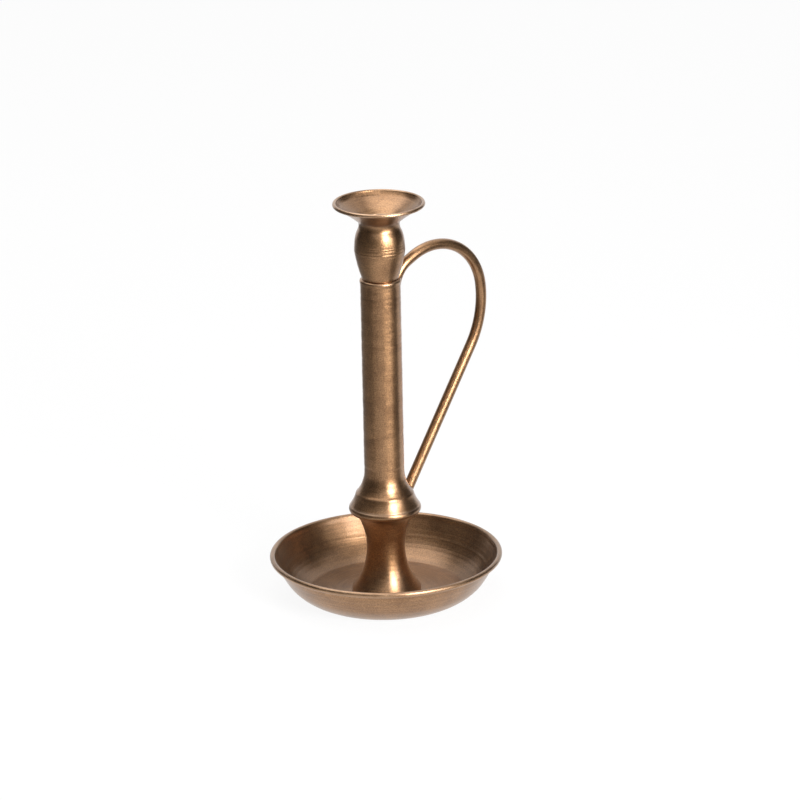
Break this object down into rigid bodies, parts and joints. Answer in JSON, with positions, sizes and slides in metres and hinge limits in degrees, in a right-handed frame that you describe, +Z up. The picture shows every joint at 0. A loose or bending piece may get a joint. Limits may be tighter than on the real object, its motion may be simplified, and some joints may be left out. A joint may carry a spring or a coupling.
{
  "type": "chamberstick",
  "caption": "Tall one-candle chamberstick: round drip pan, turned pedestal, tubular stem, urn-shaped candle cup with a wax dish, and a bent-rod finger loop, held by a tie rod.",
  "frame": {"origin": "on the axis of the stem and pan, in the table plane", "axes": "+Z up along the stem to the candle, +X towards the finger loop, Y across the plane of the handle"},
  "size_m": [0.1497, 0.14, 0.2451],
  "materials": {
    "antique_brass": "satin, chemically darkened to an antique bronze",
    "plated_steel": "zinc plated"
  },
  "bodies": {
    "root": {"drip_pan": "antique_brass", "pedestal": "antique_brass", "stem": "antique_brass", "candle_cup": "antique_brass", "handle": "antique_brass", "tie_rod": "plated_steel", "flat_washer": "plated_steel", "spring_washer": "plated_steel", "base_nut": "plated_steel"}
  },
  "joints": []
}
